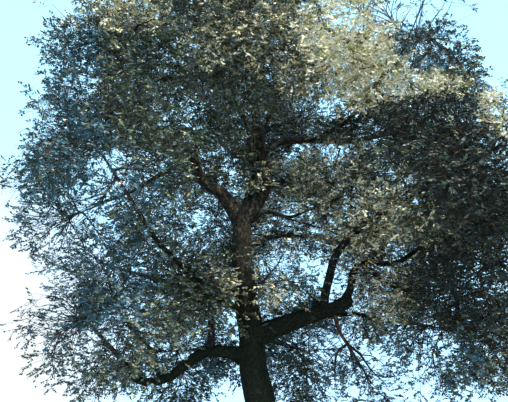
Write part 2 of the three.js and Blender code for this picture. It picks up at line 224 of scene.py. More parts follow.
# Each mass: its heart, how far it spreads, how full of shoots the frame has it, and how thick
# with leaves it looks
masses = {
    "crown_top": ((-0.45, 0.4, 12.3), 2.25, 1, 1.0),
    "high_left": ((-2.8, -1, 11.1), 2.1, 1, 1.0),
    "high_right": ((2.15, -0.9, 11.2), 2.1, 1, 1.0),
    "high_back": ((0, 3.2, 10.6), 2.3, 1, 1.0),
    "upper_front": ((-0.75, -3.75, 9.3), 2.0, 1, 1.0),
    "upper_front_left": ((-3.5, -2.9, 9.2), 2.0, 1, 1.0),
    "upper_left": ((-4.75, 0.7, 9.2), 2.1, 1, 1.0),
    "upper_back_left": ((-3.35, 3.9, 8.9), 2.2, 1, 1.0),
    "upper_back_right": ((1.9, 3.9, 9.5), 2.2, 1, 1.0),
    "upper_right": ((4.65, 0.9, 9.6), 2.2, 1, 1.15),
    "upper_front_right": ((2.9, -3.0, 9.4), 2.0, 1, 1.1),
    "wing_front_left": ((-3.25, -4.1, 6.2), 1.95, 0.9, 1.0),
    "wing_left": ((-4.6, -0.9, 6.3), 2.0, 0.9, 1.0),
    "wing_back_left": ((-4.8, 2.8, 5.9), 2.15, 0.9, 1.0),
    "wing_back": ((-0.65, 4.6, 7.2), 2.6, 0.9, 1.1),
    "wing_back_right": ((3.85, 3.7, 6.1), 2.2, 0.9, 1.0),
    "wing_right": ((4.8, -0.1, 6.3), 2.1, 0.9, 1.2),
    "wing_front_right": ((3.5, -4.0, 6.1), 1.95, 0.9, 1.1),
    "skirt_front_left": ((-3.1, -2.7, 3.6), 1.75, 0.9, 1.0),
    "skirt_left": ((-4.45, 0.3, 3.75), 1.95, 0.9, 1.0),
    "skirt_back_left": ((-2.85, 3.6, 3.5), 2.2, 0.9, 1.0),
    "skirt_back_right": ((1.15, 4.6, 3.6), 2.2, 0.9, 1.0),
    "skirt_right": ((4.45, 1.3, 3.85), 2.1, 0.9, 1.0),
    "skirt_front_right": ((3.9, -2, 3.5), 1.8, 0.9, 1.1),
    "heart_front": ((0.1, -1.35, 4.9), 1.05, 0.8, 1.3),
    "heart_low": ((-2.25, -0.9, 4.8), 1.5, 0.9, 1.2),
    "heart_left": ((-2.25, -1.4, 8.4), 1.45, 0.8, 1.0),
    "heart_right": ((1.95, -0.2, 7), 1.8, 0.9, 1.3),
    "hanging": ((2.1, -0.3, 2.6), 1.1, 0.6, 1.6),
}
massNames = list(masses)
hearts, spreads, fullness, leafiness = [np.array(column) for column in zip(*masses.values())]

# Each bough: what it grows from and how far along, its diameters at the base and the tip, the
# mass it ends in, and the places it passes
boughs = {
    "leader": ("trunk", 0.93, (0.41, 0.17), "crown_top", [
        (-0.4, 0, 6.87), (-0.185, 0.02, 7.25), (-0.18, 0.04, 7.85), (-0.35, 0.07, 8.7),
        (-0.42, 0.25, 10.2)]),
    "bough_high_left": ("trunk", 0.965, (0.225, 0.09), "high_left", [
        (-0.57, 0.06, 7.15), (-0.505, 0.09, 7.7), (-0.54, 0.06, 8.6), (-0.72, -0.08, 9.3)]),
    "bough_upper_left": ("trunk", 0.93, (0.41, 0.12), "upper_left", [
        (-1.28, -0.01, 7.095), (-1.735, 0, 7.445), (-1.975, 0.02, 7.8), (-2.165, 0.04, 8.4)]),
    "bough_heart_left": ("bough_upper_left", 0.36, (0.12, 0.07), "heart_left", [(-2.05, -0.5, 8)]),
    "bough_upper_front_left": ("bough_upper_left", 0.62, (0.17, 0.08), "upper_front_left", [
        (-3.1, -0.9, 8.75)]),
    "bough_wing_left": ("bough_upper_left", 0.45, (0.15, 0.07), "wing_left", [
        (-2.55, -0.15, 7.75), (-3.45, -0.45, 7.05)]),
    "bough_wing_front_left": ("trunk", 0.58, (0.19, 0.08), "wing_front_left", [
        (-1.35, -1.2, 4.3), (-2.4, -2.7, 5)]),
    "bough_upper_front": ("leader", 0.36, (0.21, 0.09), "upper_front", [
        (-0.3, -0.7, 8.45), (-0.5, -1.7, 8.8)]),
    "bough_upper_right": ("leader", 0.38, (0.24, 0.11), "upper_right", [
        (0.15, 0, 8.56), (0.9, 0.01, 8.66), (2.1, 0.08, 8.66), (2.95, 0.35, 8.95)]),
    "bough_upper_front_right": ("bough_upper_right", 0.42, (0.16, 0.08), "upper_front_right", [
        (1.95, -0.9, 8.8)]),
    "bough_high_right": ("leader", 0.56, (0.17, 0.08), "high_right", [(0.45, -0.25, 10.1)]),
    "bough_high_back": ("leader", 0.52, (0.19, 0.09), "high_back", [(-0.4, 1.1, 9.7)]),
    "bough_upper_back_left": ("bough_upper_left", 0.3, (0.2, 0.09), "upper_back_left", [(-1.95, 1.3, 8)]),
    "bough_upper_back_right": ("leader", 0.24, (0.2, 0.09), "upper_back_right", [(0.55, 1.5, 8.1)]),
    "bough_heart_right": ("trunk", 0.9, (0.13, 0.07), "heart_right", [
        (-0.15, 0.12, 6.65), (0.474, 0.16, 6.53)]),
    "bough_wing_back_left": ("trunk", 0.67, (0.21, 0.09), "wing_back_left", [
        (-1.75, 0.7, 4.9), (-2.95, 1.5, 5.15)]),
    "bough_wing_back": ("trunk", 0.76, (0.2, 0.09), "wing_back", [(-0.77, 1.3, 5.65)]),
    "bough_wing_back_right": ("trunk", 0.83, (0.2, 0.09), "wing_back_right", [
        (0.15, 0.9, 6.25), (1.65, 2, 6.48)]),
    "bough_heart_low": ("trunk", 0.63, (0.14, 0.07), "heart_low", [(-1.15, -0.42, 4.52)]),
    "bough_right_low": ("trunk", 0.511, (0.5, 0.325), None, [
        (-0.114, -0.02, 3.59), (0.322, -0.04, 3.75), (1.153, -0.08, 4.03), (1.496, -0.1, 4.11),
        (1.79, -0.1, 4.29)]),
    "bough_wing_right": ("bough_right_low", 0.96, (0.21, 0.09), "wing_right", [
        (1.905, -0.11, 4.62), (1.98, -0.12, 4.98), (2.24, -0.11, 5.235), (3.05, -0.1, 5.245)]),
    "bough_rising": ("bough_right_low", 0.74, (0.24, 0.09), "wing_front_right", [
        (1.275, -0.17, 4.45), (1.395, -0.23, 4.88), (1.515, -0.33, 5.29), (2.0, -1.5, 5.75)]),
    "bough_hanging": ("bough_right_low", 0.86, (0.11, 0.07), "hanging", [
        (1.52, -0.15, 3.79), (1.59, -0.17, 3.545)]),
    "bough_skirt_front_right": ("bough_wing_right", 0.4, (0.13, 0.08), "skirt_front_right", [
        (2.65, -0.7, 4.65)]),
    "bough_skirt_right": ("bough_right_low", 0.5, (0.17, 0.08), "skirt_right", [(1.85, 0.55, 4.1)]),
    "bough_left_low": ("trunk", 0.454, (0.33, 0.13), "skirt_left", [
        (-1.21, -0.03, 3.11), (-1.54, -0.05, 3.11), (-2.05, -0.08, 2.81), (-2.44, -0.08, 2.52),
        (-3.1, 0, 2.45)]),
    "bough_left_fork": ("bough_left_low", 0.66, (0.13, 0.07), "skirt_front_left", [(-2.73, -0.48, 2.95)]),
    "bough_skirt_back_left": ("trunk", 0.42, (0.23, 0.09), "skirt_back_left", [(-1.5, 1.2, 3.3)]),
    "bough_skirt_back_right": ("trunk", 0.47, (0.23, 0.09), "skirt_back_right", [(-0.1, 1.4, 3.55)]),
}


class Path:  # a line measured by the share of its length
    def __init__(self, points):
        self.points = np.asarray(points, float)
        steps = np.linalg.norm(np.diff(self.points, axis=0), axis=1)
        self.run = np.concatenate([[0], np.cumsum(steps)])
        self.length = self.run[-1]

    def at(self, share):
        along = np.clip(share, 0, 1) * self.length
        return np.stack([np.interp(along, self.run, self.points[:, k]) for k in range(3)], -1)

    def heading(self, share):
        near = 0.01
        return unit(self.at(np.minimum(share + near, 1)) - self.at(np.maximum(share - near, 0)))


def throughPlaces(places, perSpan=24):  # a smooth curve that passes every place evenly
    p = [np.array(place, float) for place in places]
    p = [2 * p[0] - p[1], *p, 2 * p[-1] - p[-2]]
    share = np.linspace(0, 1, perSpan + 1)[:, None]
    spans = []
    for a, b, c, d in zip(p, p[1:], p[2:], p[3:]):
        before, here, after = [np.sqrt(np.linalg.norm(w)) for w in (b - a, c - b, d - c)]
        leave = ((b - a) / before - (c - a) / (before + here) + (c - b) / here) * here
        arrive = ((c - b) / here - (d - b) / (here + after) + (d - c) / after) * here
        curve = (2 * share**3 - 3 * share**2 + 1) * b + (share**3 - 2 * share**2 + share) * leave
        curve += (3 * share**2 - 2 * share**3) * c + (share**3 - share**2) * arrive
        spans.append(curve[:-1])
    return Path(np.concatenate([*spans, [p[-2]]]))


def drawnTowards(bend, start, end, share):  # the curve from start to end that one bend draws
    return (1 - share) ** 2 * start + 2 * share * (1 - share) * bend + share**2 * end


def bentPath(start, bend, end, steps=16):
    return Path(drawnTowards(bend, start, end, np.linspace(0, 1, steps + 1)[:, None]))


def trunkRadius(length):
    def radius(share, angle):
        fade = np.exp(-np.maximum(0, share * length - trunkPlan["footDepth"]) / trunkPlan["flareHeight"])
        shaft = mix(trunkPlan["footDiameter"], trunkPlan["forkDiameter"], share) / 2
        lobing = 1 + trunkPlan["lobeDepth"] * fade * np.cos(trunkPlan["lobes"] * angle)
        return (shaft + trunkPlan["flareGrowth"] * fade) * lobing
    return radius


def boughRadius(girth, length):
    base, tip = girth[0] / 2, girth[1] / 2

    def radius(share, angle):
        collar = boughPlan["collar"] * np.exp(-share * length / (base * boughPlan["collarReach"]))
        return mix(tip, base, np.maximum(1 - share, 0) ** boughPlan["taper"]) * (1 + collar)
    return radius


limbs = {}


def planLimbs():
    foot = np.array(trunkPlan["path"][0]) - up * trunkPlan["footDepth"]
    path = throughPlaces([foot, *trunkPlan["path"]])
    limbs["trunk"] = {"path": path, "radius": trunkRadius(path.length)}
    for name, (parent, at, girth, into, via) in boughs.items():
        places = [limbs[parent]["path"].at(at), *via]
        if into:
            heart, spread = np.array(masses[into][0]), masses[into][1]
            last = np.array(places[-1])
            share = boughPlan["entry"] * spread / np.linalg.norm(heart - last)
            places.append(mix(heart, last, share))
        path = throughPlaces(places)
        limbs[name] = {"path": path, "radius": boughRadius(girth, path.length)}
    foot = limbs[stubPlan["from"]]["path"].at(stubPlan["at"])
    path = Path([foot, foot + up * stubPlan["height"]])
    limbs["dead_stub"] = {"path": path, "radius": boughRadius(stubPlan["girth"], stubPlan["height"])}


planLimbs()

barkPlan = {
    "ridgeWidth": 0.055,  # between furrows round the trunk, a little coarser than life so that it shows
    "ridgeLength": 3.2,  # ridges are this many times longer than wide
    "furrowWidth": 0.42,  # of a ridge's width
    "furrowPower": 1.5,  # higher for a sharper furrow
    "furrowDepth": 0.016,  # on the trunk; boughs have less, by their girth
    "stoutRadius": 0.3,
    "slimShare": 0.25,  # of the furrow depth that is left on the slimmest boughs
    "wander": (0.8, 0.45),  # how often ridges wander, and how far
    "wanderSeed": 5,  # without one, noise_vector gives another pattern each run
    "rough": 0.22,  # of the furrow depth
    "roughScale": 1.9,
    "roughLayers": (0.8, 2.1, 3),  # how fast they fade and shrink, and how many
    "swell": 0.06,  # slow swelling and thinning of a limb, as a share of its radius
    "swellScale": 1.6,
    "shift": 3.7,  # so that no two limbs share a pattern
    "facet": 0.017,  # the mesh's own step, across and along
    "facetLength": 0.034,
    "sides": (14, 132),  # fewest and most
    "rings": (12, 260),
    "domeRings": 5,
    "domeRise": {"trunk": 0.25},  # of the end's radius, 1 elsewhere: the fork hides the trunk's top
}


def limbFrames(path, shares):  # headings and two sides that don't twist along the path
    headings = path.heading(shares)
    first = headings[0]
    lowest = np.eye(3)[np.argmin(np.abs(first))]
    side = np.cross(first, unit(np.cross(first, lowest)))
    sides = []
    for heading in headings:
        side = unit(side - heading * (side @ heading))
        sides.append(side)
    sides = np.array(sides)
    return headings, sides, np.cross(headings, sides)


def furrowAt(spot):  # 0 on a ridge of bark to 1 in the furrow beside it
    often, far = barkPlan["wander"]
    spot = Vector((spot[0], spot[1], spot[2] / barkPlan["ridgeLength"]))
    spot += noise.noise_vector(spot * often) * far
    near = noise.voronoi(spot)[0]
    return 1 - min(1.0, max(0.0, (near[1] - near[0]) / barkPlan["furrowWidth"]))


def limbMesh(name, limb, shift, brokenTop=False):  # a grid wrapped round the limb, its end drawn to a dome
    path, radiusAt = limb["path"], limb["radius"]
    stout = float(np.mean(radiusAt(np.linspace(0.1, 0.9, 9), 0.0)))  # its mean radius
    sides = int(np.clip(2 * math.pi * stout / barkPlan["facet"], *barkPlan["sides"]))
    rings = int(np.clip(path.length / barkPlan["facetLength"], *barkPlan["rings"]))
    dome = barkPlan["domeRings"]
    bm = bmesh.new()
    bmesh.ops.create_grid(bm, x_segments=sides, y_segments=rings + dome, size=0.5)
    flat = np.array([vert.co for vert in bm.verts])
    angle = (flat[:, 0] + 0.5) * 2 * math.pi
    ring = np.rint((flat[:, 1] + 0.5) * (rings + dome)).astype(int)
    ringShare = np.minimum(np.arange(rings + dome + 1) / rings, 1)
    headings, normals, binormals = limbFrames(path, ringShare)
    share = ringShare[ring]
    bulge = np.clip((ring - rings) / dome, 0, 1) * math.pi / 2
    radius = radiusAt(share, angle)
    out = normals[ring] * np.cos(angle)[:, None] - binormals[ring] * np.sin(angle)[:, None]
    along = share * path.length + radius * np.sin(bulge)
    unrolled = np.stack([np.cos(angle) * stout, np.sin(angle) * stout, along], -1)
    unrolled[:, 0] += shift
    cells = unrolled / barkPlan["ridgeWidth"]
    furrow = np.array([furrowAt(cell) for cell in cells])
    layers = barkPlan["roughLayers"]
    rough = np.array([noise.fractal(Vector(cell) * barkPlan["roughScale"], *layers) for cell in cells])
    slow = np.array([noise.noise(Vector(spot) * barkPlan["swellScale"]) for spot in unrolled])
    girthShare = mix(barkPlan["slimShare"], 1, np.clip(radius / barkPlan["stoutRadius"], 0, 1))
    depth = barkPlan["furrowDepth"] * girthShare
    radius = radius * (1 + barkPlan["swell"] * slow)
    radius = radius + depth * (barkPlan["rough"] * rough - furrow ** barkPlan["furrowPower"])
    domeRise = barkPlan["domeRise"].get(name, 1) * float(radiusAt(1.0, 0.0))
    rise = stubPlan["splinter"] * rough if brokenTop else domeRise * np.sin(bulge)
    places = path.at(share) + out * (radius * np.cos(bulge))[:, None]
    places += headings[ring] * np.where(ring > rings - brokenTop, rise, 0)[:, None]
    furrowLayer = bm.verts.layers.float.new("furrow")
    placeLayer = bm.verts.layers.float_vector.new("barkPlace")
    for vert, place, deep, spot in zip(bm.verts, places, furrow, unrolled):
        vert.co = place
        vert[furrowLayer] = deep
        vert[placeLayer] = spot
    bmesh.ops.remove_doubles(bm, verts=bm.verts, dist=1e-5)
    if name == "trunk":  # the flat cut at ground level
        everything = bm.verts[:] + bm.edges[:] + bm.faces[:]
        bmesh.ops.bisect_plane(bm, geom=everything, plane_co=(0, 0, 0), plane_no=(0, 0, 1), clear_inner=True)
    rims = [edge for edge in bm.edges if edge.is_boundary]
    for edge in bm.edges:
        edge.smooth = not edge.is_boundary
    bmesh.ops.holes_fill(bm, edges=rims, sides=0)
    for face in bm.faces:
        face.smooth = len(face.verts) <= 4
    bmesh.ops.recalc_face_normals(bm, faces=bm.faces)
    return meshOf(f"bark_{name}", bm)


# Bark of an old live oak: hard grey ridges and near-black furrows, partly their own colour and partly
# painted shade in the furrows, with rust in the cracks, pale lichen where light reaches it, and
# painted shade up the lower trunk and the low boughs: a dark film with a green cast of algae
barkLook = {
    "ridge": "#47443f",
    "flank": "#302d29",
    "furrow": "#131110",
    "depths": (0.0, 0.45, 0.95),  # where in the relief each of those three lies
    "rust": "#422f26",
    "lichen": "#636860",
    # painted shade under the crown, with a green cast of algae
    "algaeAndShade": "#0e170f",
    "algaeAndShadeShare": 0.88,
    "algaeAndShadeHeights": (3.3, 8.4),  # all of it below the first, none above the second
    "patch": 0.35,
    "rustFrom": 0.58,
    "lichenFrom": 0.6,
    "patchEdge": 0.1,
    "patchShare": 0.7,
    "grain": 0.05,  # coarser than the real flecks of 5 mm, so that it shows
    "grainEdges": (0.35, 0.65),
    "grainShade": (0.3, 1.8),
    "bump": 0.004,
    "roughness": (0.76, 0.98),
    "specular": 0.14,
}
# Weathered dead wood: no bark left, dark grey with a cast of violet, split along the grain
deadWoodLook = {**barkLook, "ridge": "#3d3a4a", "flank": "#2b2836", "furrow": "#1a1517", "rust": "#4a3029",
                "lichen": "#756a6c", "algaeAndShadeShare": 0.3}
# A slim bough whose outer bark has flaked: the red inner bark shows between the ridges, its colours lightened
# as painted sunlight
redBarkLook = {**barkLook, "ridge": "#745448", "flank": "#603b2f", "furrow": "#2c1913", "rust": "#7a4a38",
               "algaeAndShadeShare": 0.1}


def barkMaterial(name, look):
    material, tree, surface = newMaterial(name)
    furrow = addNode(tree, "ShaderNodeAttribute", attribute_name="furrow").outputs["Fac"]
    place = addNode(tree, "ShaderNodeAttribute", attribute_name="barkPlace").outputs["Vector"]
    body = addNode(tree, "ShaderNodeTexCoord").outputs["Object"]
    # The furrows' near-black is partly the bark's own colour and partly painted shade in them
    ridges = addNode(tree, "ShaderNodeValToRGB", {0: furrow})
    setRamp(ridges, list(zip(look["depths"], (look["ridge"], look["flank"], look["furrow"]))))
    films = {}
    for tint, offset in (("rust", 0.0), ("lichen", 7.3)):  # the same noise, taken from two places
        spot = addNode(tree, "ShaderNodeVectorMath", {0: body, 1: (offset, offset, offset)})
        patches = addNode(tree, "ShaderNodeTexNoise", {
            "Vector": spot.outputs[0], "Scale": 1 / look["patch"], "Detail": 5.0, "Roughness": 0.7})
        start = look[f"{tint}From"]
        films[tint] = addNode(tree, "ShaderNodeMapRange", {
            "Value": patches.outputs[0], "From Min": start, "From Max": start + look["patchEdge"],
            "To Max": look["patchShare"]})
    # Painted shade with a green cast of algae: the colour darkens towards the bottom, by height alone
    low, high = look["algaeAndShadeHeights"]
    height = addNode(tree, "ShaderNodeSeparateXYZ", {0: body}).outputs["Z"]
    films["algaeAndShade"] = addNode(tree, "ShaderNodeMapRange", {
        "Value": height, "From Min": low, "From Max": high, "To Min": look["algaeAndShadeShare"], "To Max": 0.0})
    colour = ridges.outputs[0]
    for tint, share in films.items():
        colour = addNode(tree, "ShaderNodeMix", {0: share.outputs[0], 6: colour, 7: linear(look[tint])},
                         data_type="RGBA").outputs[2]
    grain = addNode(tree, "ShaderNodeTexNoise", {
        "Vector": place, "Scale": 1 / look["grain"], "Detail": 4.0, "Roughness": 0.65}).outputs[0]
    (least, most), (dark, light), (smooth, dull) = look["grainEdges"], look["grainShade"], look["roughness"]
    shade = addNode(tree, "ShaderNodeMapRange", {
        "Value": grain, "From Min": least, "From Max": most, "To Min": dark, "To Max": light})
    shaded = addNode(tree, "ShaderNodeVectorMath", {0: colour, 1: shade.outputs[0]}, operation="MULTIPLY")
    bump = addNode(tree, "ShaderNodeBump", {"Height": grain, "Distance": look["bump"]})
    rough = addNode(tree, "ShaderNodeMapRange", {"Value": grain, "To Min": smooth, "To Max": dull})
    for socket, node in (("Base Color", shaded), ("Roughness", rough), ("Normal", bump)):
        tree.links.new(node.outputs[0], surface.inputs[socket])
    surface.inputs["Specular IOR Level"].default_value = look["specular"]
    return material


def growLimbs():
    oakBark = barkMaterial("oakBark", barkLook)
    special = {"dead_stub": barkMaterial("weatheredDeadWood", deadWoodLook),
               "bough_hanging": barkMaterial("redOakBark", redBarkLook)}
    noise.seed_set(barkPlan["wanderSeed"])
    for i, (name, limb) in enumerate(limbs.items()):
        dead = name == "dead_stub"
        mesh = limbMesh(name, limb, i * barkPlan["shift"], brokenTop=dead)
        showPiece(f"bark_{name}", mesh, [special.get(name, oakBark)], "dead_wood" if dead else "bark", name)


growLimbs()
print("trunk and boughs grown")


# The space of each mass: a flattened ball that ends where its neighbours begin. Its rim swells
# and sinks a little, so that no mass looks round.
spacePlan = {
    "flatness": 0.86,
    "borderGap": 0.012,
    "rim": 0.04,
    "bulge": 0.55,
    "bulgeSize": 0.95,
    "slack": 0.022,  # of the frame's size
    "lowest": 1.35,
}
squash = np.array([1, 1, 1 / spacePlan["flatness"]])
heartsApart = np.linalg.norm((hearts[:, None] - hearts[None]) * squash, axis=-1)
boxLow, boxHigh = np.array(cadBox[0]), np.array(cadBox[1])
boxSlack = (boxHigh - boxLow) * spacePlan["slack"]


def keepsToSpace(places, index, rim=0.0, overlap=0.0):
    away = (((places[:, None] - hearts[None]) * squash) ** 2).sum(-1)
    power = away - spreads**2
    mine = power[:, index].copy()
    rival = power - 2 * (spacePlan["borderGap"] - overlap) * heartsApart[index]
    rival[:, index] = np.inf
    return (away[:, index] <= (spreads[index] + rim) ** 2) & (mine < rival.min(1))


def rimAt(places):
    wave = [noise.noise(Vector(place) / spacePlan["bulgeSize"]) for place in places]
    return spacePlan["rim"] + spacePlan["bulge"] * np.array(wave)


def inReach(places):  # no further than the frame itself reaches
    inside = (places > boxLow - boxSlack) & (places < boxHigh + boxSlack)
    return inside.all(1) & (places[:, 2] > spacePlan["lowest"])


def clearOfLimbs(places, margin, step=0.15, stoutest=0.6):  # nothing grows inside a limb
    clear = np.ones(len(places), bool)
    for limb in limbs.values():
        path = limb["path"]
        share = np.linspace(0, 1, max(4, int(path.length / step)))
        centres, radius = path.at(share), limb["radius"](share, 0.0)
        low, high = centres.min(0) - stoutest, centres.max(0) + stoutest
        near = np.flatnonzero(clear & ((places > low) & (places < high)).all(1))
        if len(near):
            away = np.linalg.norm(places[near, None] - centres[None], axis=-1) - radius
            clear[near[away.min(1) < margin]] = False
    return clear


# Where the crown is thin, on the plane of the trunk as seen from in front: middle across and up,
# half width and half height in centimetres, and the percentage of the foliage that is missing,
# below 0 where there is more
thinSpots = [
    (-673, 1301, 94, 78, 90), (413, 1301, 135, 64, 80), (405, 1280, 82, 63, 50), (485, 1149, 86, 60, 45),
    (560, 1252, 52, 63, 90), (653, 1231, 70, 152, 100), (-506, 1019, 56, 51, 75),
    (-603, 1090, 56, 65, -30), (-694, 932, 65, 55, 90), (-684, 819, 48, 58, 35), (-594, 920, 60, 55, 50),
    (-203, 914, 60, 61, -35), (-384, 801, 127, 52, 68), (-435, 705, 151, 61, 63),
    (-481, 597, 112, 63, 57), (-537, 597, 51, 58, 50), (-625, 386, 39, 82, 50), (-530, 444, 69, 69, 70),
    (-535, 324, 95, 61, 52), (-403, 509, 99, 51, 50), (-270, 529, 85, 67, 50), (-180, 529, 60, 51, 35),
    (-195, 260, 37, 41, 30), (-7, 315, 52, 37, 40), (508, 326, 43, 37, 50), (264, 527, 55, 20, 50),
    (409, 434, 44, 39, 45), (90, 1287, 59, 49, 30), (-365, 338, 96, 56, 60), (-496, 694, 155, 166, 20),
    (-465, 386, 150, 120, 20), (-279, 716, 62, 84, 50), (-676, 722, 52, 112, 50),
    (-167, 602, 66, 58, 50), (-75, 474, 32, 110, 60), (-178, 324, 100, 35, 60), (-247, 269, 61, 45, 48),
    (-120, 260, 42, 50, -20), (50, 529, 80, 38, 70), (1, 597, 66, 40, 50), (189, 260, 117, 77, 55),
    (359, 264, 42, 63, 75), (351, 333, 105, 61, 45), (399, 333, 72, 51, 40), (244, 237, 61, 45, 40),
    (166, 348, 53, 33, 40), (108, 333, 81, 42, 50), (-3, 251, 51, 54, 45), (171, 819, 43, 47, 75),
    (190, 680, 181, 121, 25), (215, 459, 98, 99, 35), (193, 1294, 59, 49, 40), (-572, 640, 51, 48, 35),
    (298, 1252, 99, 77, 40), (396, 1170, 52, 88, 35), (514, 1252, 64, 70, 30), (294, 1026, 72, 38, 30),
    (-540, 1287, 88, 56, 30), (-193, 787, 37, 52, 50), (-10, 514, 50, 51, 60), (72, 608, 61, 48, 40),
    (173, 586, 76, 63, 30), (-103, 761, 68, 102, -35), (38, 836, 80, 100, -35), (149, 951, 137, 80, -35),
    (177, 434, 54, 54, 20), (479, 613, 143, 240, -25), (-226, 434, 88, 49, 5), (48, 429, 83, 39, -35),
    (559, 1051, 73, 45, -35), (519, 434, 59, 64, -35), (467, 233, 79, 40, -35), (-604, 529, 40, 56, -30),
    (-643, 634, 31, 54, -30),
]
spotPlan = {
    "usualShare": 0.77,  # of the shoots and sprays, where the crown is neither thin nor thick
    "edges": (0.7, 1.25),  # a spot is whole inside the first and gone outside the second
    "nearest": 0.1,  # nothing is taken to be closer to the eye than this
}


def onTrunkPlane(places):  # where the line of sight through each place meets the plane of the trunk
    eye = np.array(viewPlan["eye"])
    ahead = places - eye
    scale = -eye[1] / np.maximum(ahead[:, 1], spotPlan["nearest"])
    return (eye + ahead * scale[:, None])[:, [0, 2]]


def inSpot(seen, x, z, wide, high):  # 1 at the middle of a spot on that plane, fading to 0 past its rim
    away = np.hypot((seen[:, 0] - x) / wide, (seen[:, 1] - z) / high)
    return 1 - smoothstep(*spotPlan["edges"], away)


def shareKept(places):  # of the shoots and sprays that would fill the crown evenly
    seen = onTrunkPlane(places)
    kept = np.full(len(places), spotPlan["usualShare"])
    for *spot, share in np.array(thinSpots) / 100:
        kept *= 1 - share * inSpot(seen, *spot)
    return np.minimum(kept, 1)


def seeded(seed):  # the frame's own dice, so that the first twigs are its twigs
    state = [seed]
    whole = 0xFFFFFFFF

    def draw():
        state[0] = (state[0] + 0x6D2B79F5) & whole
        word = ((state[0] ^ (state[0] >> 15)) * (1 | state[0])) & whole
        word = ((word + ((word ^ (word >> 7)) * (61 | word) & whole)) & whole) ^ word
        return ((word ^ (word >> 14)) & whole) / 2**32
    return draw


def evenDirections(count, turn):  # spread evenly over a ball
    index = np.arange(count)
    height = 1 - (2 * (index + 0.5)) / count
    around = np.sqrt(1 - height**2)
    angle = turn + math.pi * (3 - math.sqrt(5)) * index
    return np.stack([around * np.cos(angle), around * np.sin(angle), height], -1)


def evenPlaces(count, random):  # spread evenly through a ball of radius 1
    evenStep = 1.2207440846057596  # for three dimensions, as the golden ratio is for one
    cube = (random.random(3) + np.arange(count)[:, None] * (1 / evenStep ** np.arange(1, 4))) % 1
    height, angle = 1 - 2 * cube[:, 0], cube[:, 1] * 2 * math.pi
    around = np.sqrt(1 - height**2)
    direction = np.stack([around * np.cos(angle), around * np.sin(angle), height], -1)
    return direction * cube[:, 2:] ** (1 / 3)


def bentLines(starts, ends, headings, bend, rings):  # many curves at once, each leaving along its heading
    length = np.linalg.norm(ends - starts, axis=-1, keepdims=True)
    bends = mix(starts, ends, 0.5) + (headings * length - (ends - starts)) * bend
    share = np.linspace(0, 1, rings)[None, :, None]
    return drawnTowards(bends[:, None], starts[:, None], ends[:, None], share)


def pointOn(lines, shares):  # one place along each line
    rings = lines.shape[1] - 1
    at = np.clip(shares * np.ones(len(lines)) * rings, 0, rings - 1e-6)
    low = at.astype(int)
    rows = np.arange(len(lines))
    return mix(lines[rows, low], lines[rows, low + 1], (at - low)[:, None])


def tapered(lines, base, tip):  # the same radii for every line
    return np.linspace(base, tip, lines.shape[1])[None].repeat(len(lines), 0)


def tubes(lines, radii, sides=3):  # along many lines, each from a closed base to a point: places and faces
    count, rings = lines.shape[:2]
    ahead = unit(np.gradient(lines, axis=1))
    lying = np.abs(ahead[:, :1, 2:]) < 0.9
    side = unit(np.cross(ahead, np.where(lying, up, np.array([1.0, 0, 0]))))
    other = np.cross(ahead, side)
    angle = np.arange(sides) * 2 * math.pi / sides
    around = np.cos(angle)[:, None] * side[:, :-1, None] + np.sin(angle)[:, None] * other[:, :-1, None]
    rims = lines[:, :-1, None] + radii[..., :-1, None, None] * around
    each = (rings - 1) * sides + 1
    places = np.concatenate([rims.reshape(count, -1, 3), lines[:, -1:]], axis=1)
    corner = np.arange((rings - 1) * sides).reshape(rings - 1, sides)
    after = np.roll(corner, -1, axis=1)
    walls = np.stack([corner[:-1], after[:-1], after[1:], corner[1:]], -1).reshape(-1, 4)
    point = np.stack([corner[-1], after[-1], np.full(sides, each - 1)], -1)
    base = corner[:1, ::-1]
    first = (np.arange(count) * each)[:, None, None]
    faces = [(first + group).reshape(-1, group.shape[1]) for group in (walls, point, base) if len(group)]
    return places.reshape(-1, 3), faces


def joined(parts):  # several sets of places and faces as one
    places, faces, start = [], [], 0
    for some, groups in parts:
        places.append(some)
        faces += [group + start for group in groups]
        start += len(some)
    return np.concatenate(places), faces


def meshFrom(name, places, faces, colour=None):  # flat leaves where each face has a colour, else round twigs
    mesh = bpy.data.meshes.new(name)
    corners = np.concatenate([group.ravel() for group in faces])
    sizes = np.concatenate([np.full(len(group), group.shape[1]) for group in faces])
    mesh.vertices.add(len(places))
    mesh.vertices.foreach_set("co", np.ascontiguousarray(places, np.float32).ravel())
    mesh.loops.add(len(corners))
    mesh.loops.foreach_set("vertex_index", corners.astype(np.int32))
    mesh.polygons.add(len(sizes))
    mesh.polygons.foreach_set("loop_start", (np.cumsum(sizes) - sizes).astype(np.int32))
    if colour is not None:
        mesh.polygons.foreach_set("material_index", colour.astype(np.int32))
    mesh.update(calc_edges=True)
    if colour is not None:
        mesh.shade_flat()
    mesh.validate()
    return mesh


stemPlan = {"reach": 0.3, "bend": 0.45, "thinning": 0.35, "sides": 8, "rings": 9}
twigPlan = {
    "firstSeed": 13,
    "seedStep": 977,
    "perMass": 4.8,
    "usualSpread": 1.8,
    "from": (0.4, 0.96),  # along the stem
    "reaches": np.arange(0.62, 0.3, -0.06),
    "thickness": 0.5,
    "thinnest": 0.02,
    "lift": 0.25,
    "bend": 0.35,
    "thinning": 0.15,
    "sides": 6,
}


def stemOf(name):  # the stem starts on its bough's tip and runs past the heart of its mass
    heart, spread = np.array(masses[name][0]), masses[name][1]
    parents = [bough for bough, row in boughs.items() if row[3] == name]
    if not parents:
        start = limbs["trunk"]["path"].at(trunkShootPlan["at"])
        girth = trunkShootPlan["girth"]
        return bentPath(start, mix(start, heart, 0.5), heart), girth[0] / 2, girth[1] / 2
    parent = limbs[parents[0]]
    start, heading = parent["path"].at(1), parent["path"].heading(1)
    end = heart + heading * stemPlan["reach"] * spread
    bend = start + heading * np.linalg.norm(end - start) * stemPlan["bend"]
    base = float(parent["radius"](1.0, 0.0))
    return bentPath(start, bend, end), base, base * stemPlan["thinning"]


